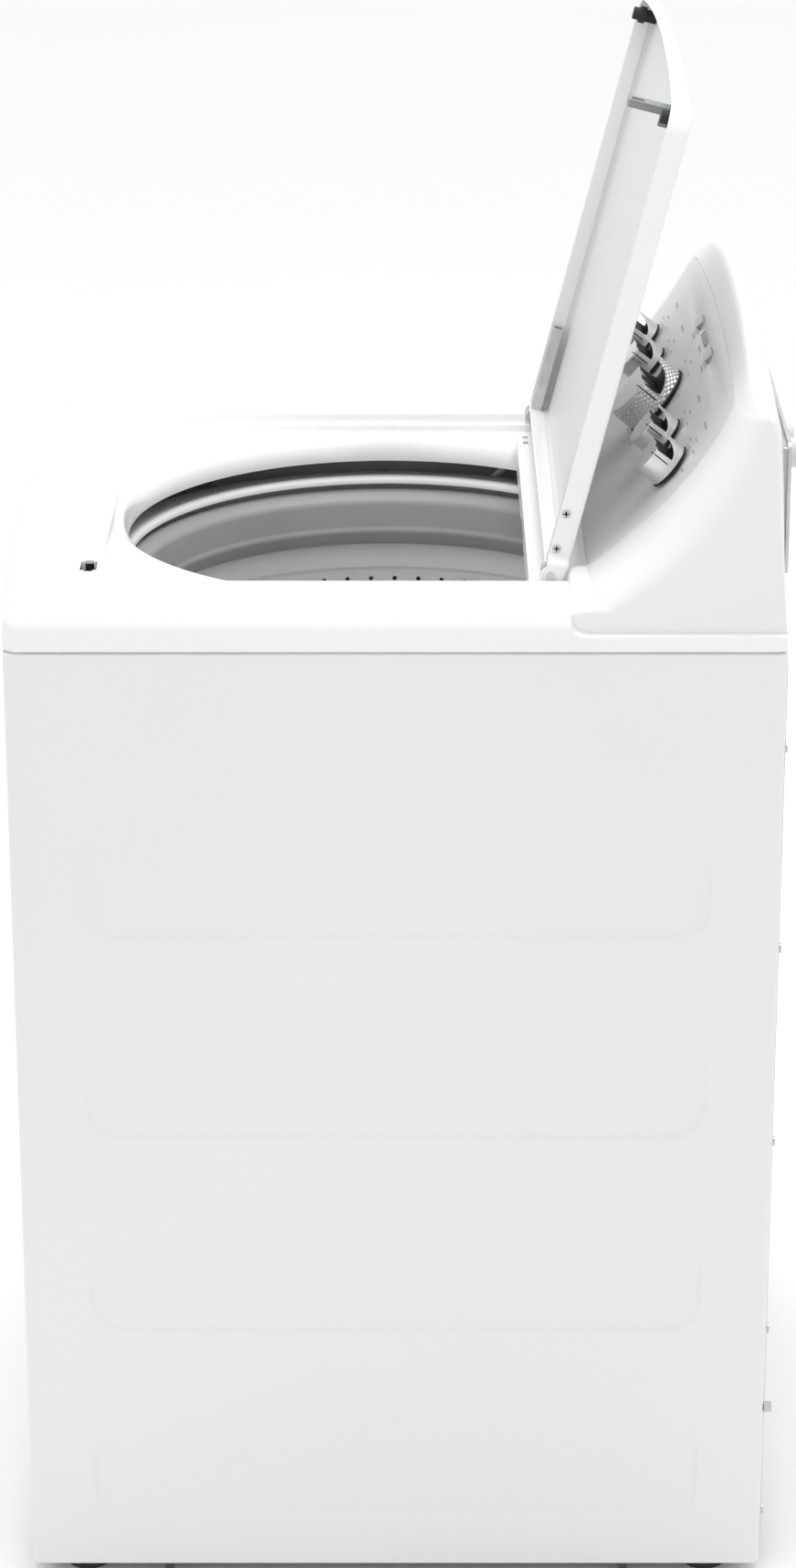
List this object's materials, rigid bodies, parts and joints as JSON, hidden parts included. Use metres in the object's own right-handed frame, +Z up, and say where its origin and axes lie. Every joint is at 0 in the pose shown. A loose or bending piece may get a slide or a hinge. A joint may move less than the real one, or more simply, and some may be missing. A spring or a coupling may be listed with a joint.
{
  "type": "top load washing machine",
  "caption": "Top load washing machine: boxy cabinet on levelling feet, hinged lid over a perforated basket, and a raised rear console with dials.",
  "frame": {"origin": "on the floor, under the middle of the machine's box", "axes": "+Z up, front towards -Y, +X to the right seen from the front"},
  "size_m": [0.687, 0.71, 1.3909],
  "materials": {
    "cabinet_paint": "light grey gloss enamel",
    "top_enamel": "white gloss enamel",
    "galvanised": "galvanised sheet steel",
    "frame_paint": "black painted steel",
    "foot_rubber": "black rubber",
    "zinc_steel": "zinc-plated steel",
    "white_plastic": "white gloss plastic",
    "cream_plastic": "off-white plastic",
    "dark_plastic": "dark grey plastic",
    "grey_plastic": "grey plastic",
    "face_silver": "silver grey satin face",
    "knob_chrome": "chromed knob",
    "button_grey": "grey gloss button",
    "lens": "indicator lens",
    "board_green": "circuit board",
    "tub_plastic": "pale grey polypropylene",
    "ring_plastic": "white tub ring",
    "balance_plastic": "grey filled balance ring",
    "basket_steel": "stainless steel",
    "plate_plastic": "grey wash plate",
    "cast_aluminium": "cast aluminium",
    "shaft_steel": "ground steel",
    "motor_paint": "dark motor shell",
    "winding_copper": "varnished copper winding",
    "belt_rubber": "ribbed belt",
    "hose_rubber": "drain hose"
  },
  "bodies": {
    "machine": {"cabinet_shell": "cabinet_paint", "rear_panel": "galvanised", "base_frame": "frame_paint", "corner_braces": "galvanised", "foot_pads": "foot_rubber", "foot_studs": "zinc_steel", "foot_locknuts": "zinc_steel", "panel_screws": "zinc_steel", "top_panel": "top_enamel", "rear_sill": "white_plastic", "hinge_brackets": "top_enamel", "lid_lock_housing": "dark_plastic", "console_ends": "white_plastic", "console_crown": "white_plastic", "console_rails": "white_plastic", "face_panel": "face_silver", "console_rear_cover": "galvanised", "knob_bezels": "dark_plastic", "indicator_lenses": "lens", "rotary_switches": "cream_plastic", "control_board": "board_green", "pressure_switch": "cream_plastic", "inlet_valve": "cream_plastic", "fill_nozzle": "white_plastic", "drain_outlet": "grey_plastic", "cord_gland": "dark_plastic", "suspension_rods": "zinc_steel"},
    "lid": {"lid_panel": "top_enamel", "lid_strike": "grey_plastic", "lid_bumpers": "foot_rubber", "hinge_arms": "zinc_steel", "hinge_pins": "zinc_steel", "lid_screws": "zinc_steel"},
    "lock": {"lock_bolt": "zinc_steel"},
    "knob_far_left_body": {"knob_far_left": "knob_chrome"},
    "knob_left_body": {"knob_left": "knob_chrome"},
    "cycle_knob_body": {"cycle_knob": "knob_chrome"},
    "knob_right_body": {"knob_right": "knob_chrome"},
    "knob_far_right_body": {"knob_far_right": "knob_chrome"},
    "button_left_body": {"button_left": "button_grey"},
    "button_right_body": {"button_right": "button_grey"},
    "tub": {"outer_tub": "tub_plastic", "tub_ring": "ring_plastic", "tub_brackets": "galvanised", "suspension_springs": "zinc_steel", "tub_seal": "foot_rubber", "bearing_housing": "cast_aluminium", "drive_bracket": "galvanised", "motor_housing": "motor_paint", "motor_stator": "winding_copper", "drive_belt": "belt_rubber", "pump_housing": "cream_plastic", "drain_hose": "hose_rubber"},
    "spin_basket": {"balance_ring": "balance_plastic", "basket": "basket_steel", "basket_hub": "cast_aluminium", "spin_tube": "shaft_steel"},
    "agitation": {"drive_shaft": "shaft_steel", "wash_plate": "plate_plastic"},
    "motor": {"motor_rotor": "shaft_steel", "motor_pulley": "cast_aluminium"},
    "pump": {"pump_rotor": "grey_plastic"}
  },
  "joints": [
    {"name": "lid_hinge", "type": "hinge", "parent": "machine", "child": "lid", "pos_m": [0, 0.136, 0.962], "axis": [1, 0, 0], "range_deg": [0, 104.3]},
    {"name": "lock_slide", "type": "slide", "parent": "machine", "child": "lock", "axis": [0, -1, 0], "range_m": [0, 0.014], "stiffness_N_per_m": 150, "springref_m": -0.005},
    {"name": "knob_far_left_turn", "type": "hinge", "parent": "machine", "child": "knob_far_left_body", "pos_m": [-0.215, 0.24213, 1.04597], "axis": [0, -0.7749, 0.632], "range_deg": [-120, 120]},
    {"name": "knob_left_turn", "type": "hinge", "parent": "machine", "child": "knob_left_body", "pos_m": [-0.125, 0.24213, 1.04597], "axis": [0, -0.7749, 0.632], "range_deg": [-120, 120]},
    {"name": "knob_right_turn", "type": "hinge", "parent": "machine", "child": "knob_right_body", "pos_m": [0.125, 0.24213, 1.04597], "axis": [0, -0.7749, 0.632], "range_deg": [-120, 120]},
    {"name": "knob_far_right_turn", "type": "hinge", "parent": "machine", "child": "knob_far_right_body", "pos_m": [0.215, 0.24213, 1.04597], "axis": [0, -0.7749, 0.632], "range_deg": [-120, 120]},
    {"name": "cycle_knob_turn", "type": "hinge", "parent": "machine", "child": "cycle_knob_body", "pos_m": [0, 0.24213, 1.04597], "axis": [0, -0.7749, 0.632], "continuous": true},
    {"name": "button_left_press", "type": "slide", "parent": "machine", "child": "button_left_body", "axis": [0, 0.7749, -0.632], "range_m": [0, 0.002], "stiffness_N_per_m": 400, "springref_m": -0.001},
    {"name": "button_right_press", "type": "slide", "parent": "machine", "child": "button_right_body", "axis": [0, 0.7749, -0.632], "range_m": [0, 0.002], "stiffness_N_per_m": 400, "springref_m": -0.001},
    {"name": "tub_bounce", "type": "slide", "parent": "machine", "child": "tub", "axis": [0, 0, 1], "range_m": [-0.025, 0.008], "stiffness_N_per_m": 16000, "springref_m": 0.0275, "deforming": ["suspension_springs", "drain_hose"]},
    {"name": "basket_spin", "type": "hinge", "parent": "tub", "child": "spin_basket", "pos_m": [0, -0.008, 0.3], "axis": [0, 0, 1], "continuous": true},
    {"name": "plate_spin", "type": "hinge", "parent": "tub", "child": "agitation", "pos_m": [0, -0.008, 0.3], "axis": [0, 0, 1], "continuous": true},
    {"name": "motor_spin", "type": "hinge", "parent": "tub", "child": "motor", "pos_m": [0, 0.177, 0.16], "axis": [0, 0, 1], "continuous": true},
    {"name": "pump_spin", "type": "hinge", "parent": "tub", "child": "pump", "pos_m": [-0.15, 0.097, 0.16], "axis": [0, 0, 1], "continuous": true}
  ],
  "couplings": [
    {"joint": "motor_spin", "follows": "plate_spin", "ratio": 3.8095}
  ]
}
